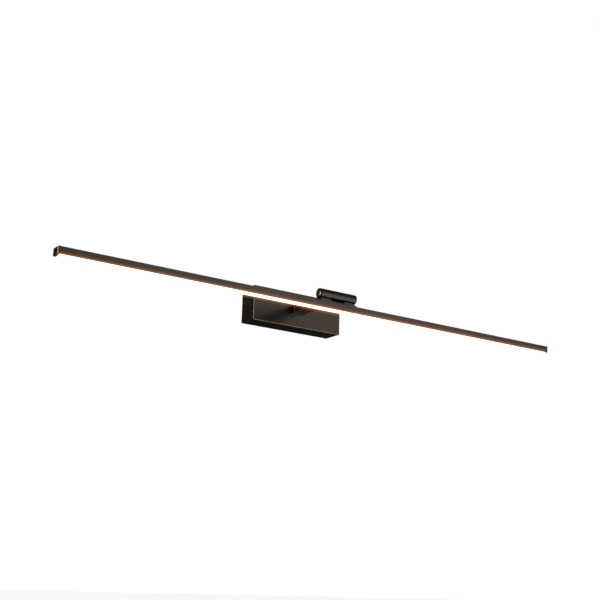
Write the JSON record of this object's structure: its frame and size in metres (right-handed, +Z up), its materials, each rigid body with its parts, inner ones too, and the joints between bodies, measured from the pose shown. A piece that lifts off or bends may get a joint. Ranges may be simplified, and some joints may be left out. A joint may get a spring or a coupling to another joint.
{
  "type": "picture light",
  "caption": "Wall picture light: a small closed wall box, one short square arm and a barrel hinge carrying a long slim LED bar with an opal strip underneath.",
  "frame": {"origin": "centre of the wall box's back face, in the plane of the wall", "axes": "+X along the light bar, +Y into the wall, +Z up"},
  "size_m": [1, 0.1675, 0.062],
  "materials": {
    "plated_black": "polished black-nickel plate, glossy",
    "bar_black": "black anodised, satin gloss",
    "cap_black": "black anodised, satin",
    "ring_black": "moulded black nylon, satin",
    "screw_black": "blackened, satin",
    "brass_gold": "polished, lacquered",
    "zinc_steel": "bright zinc plate",
    "spring_steel": "bright",
    "tinned_copper": "tinned, satin",
    "rubber_black": "matte",
    "washer_fibre": "matte fibre",
    "terminal_plastic": "moulded nylon",
    "bush_nylon": "moulded nylon",
    "driver_plastic": "fine moulded grain",
    "board_green": "solder mask, semi-gloss",
    "board_white": "white solder mask",
    "ferrite": "matte ferrite with taped winding",
    "capacitor_sleeve": "shrink sleeve",
    "led_yellow": "phosphor silicone",
    "wire_black": "PVC",
    "wire_supply": "PVC",
    "wire_earth": "PVC, green and yellow",
    "opal_diffuser": "opal acrylic, satin, lit"
  },
  "bodies": {
    "wall_mount": {"mounting_plate": "zinc_steel", "cable_grommet": "rubber_black", "canopy_cover": "plated_black", "cover_side_screws": "screw_black", "cover_stiffener": "zinc_steel", "terminal_block": "terminal_plastic", "terminal_screws": "zinc_steel", "earth_screw": "brass_gold", "earth_lug": "tinned_copper", "earth_wire": "wire_earth", "supply_wires": "wire_supply", "driver_case": "driver_plastic", "driver_lid": "driver_plastic", "driver_screws": "zinc_steel", "driver_board": "board_green", "driver_transformer": "ferrite", "driver_capacitors": "capacitor_sleeve", "arm_root_block": "plated_black", "arm_fixing_screws": "zinc_steel", "arm_lock_washers": "zinc_steel", "wire_bush": "bush_nylon", "arm_tube": "plated_black", "arm_knuckle": "plated_black", "arm_wire": "wire_black", "left_pivot_screw": "zinc_steel", "disc_spring": "spring_steel", "right_axle_tube": "zinc_steel", "friction_washers": "washer_fibre"},
    "light_bar": {"left_knuckle": "plated_black", "right_knuckle": "plated_black", "left_pivot_cap": "ring_black", "right_pivot_cap": "ring_black", "left_pivot_plug": "brass_gold", "right_pivot_plug": "brass_gold", "saddle_plate": "plated_black", "saddle_screws": "zinc_steel", "bar_housing": "bar_black", "left_end_cap": "cap_black", "right_end_cap": "cap_black", "diffuser": "opal_diffuser", "led_board": "board_white", "led_chips": "led_yellow", "bar_wire": "wire_black"}
  },
  "joints": [
    {"name": "bar_tilt", "type": "hinge", "parent": "wall_mount", "child": "light_bar", "pos_m": [0, -0.158, 0], "axis": [1, 0, 0], "range_deg": [-145, 33]}
  ]
}
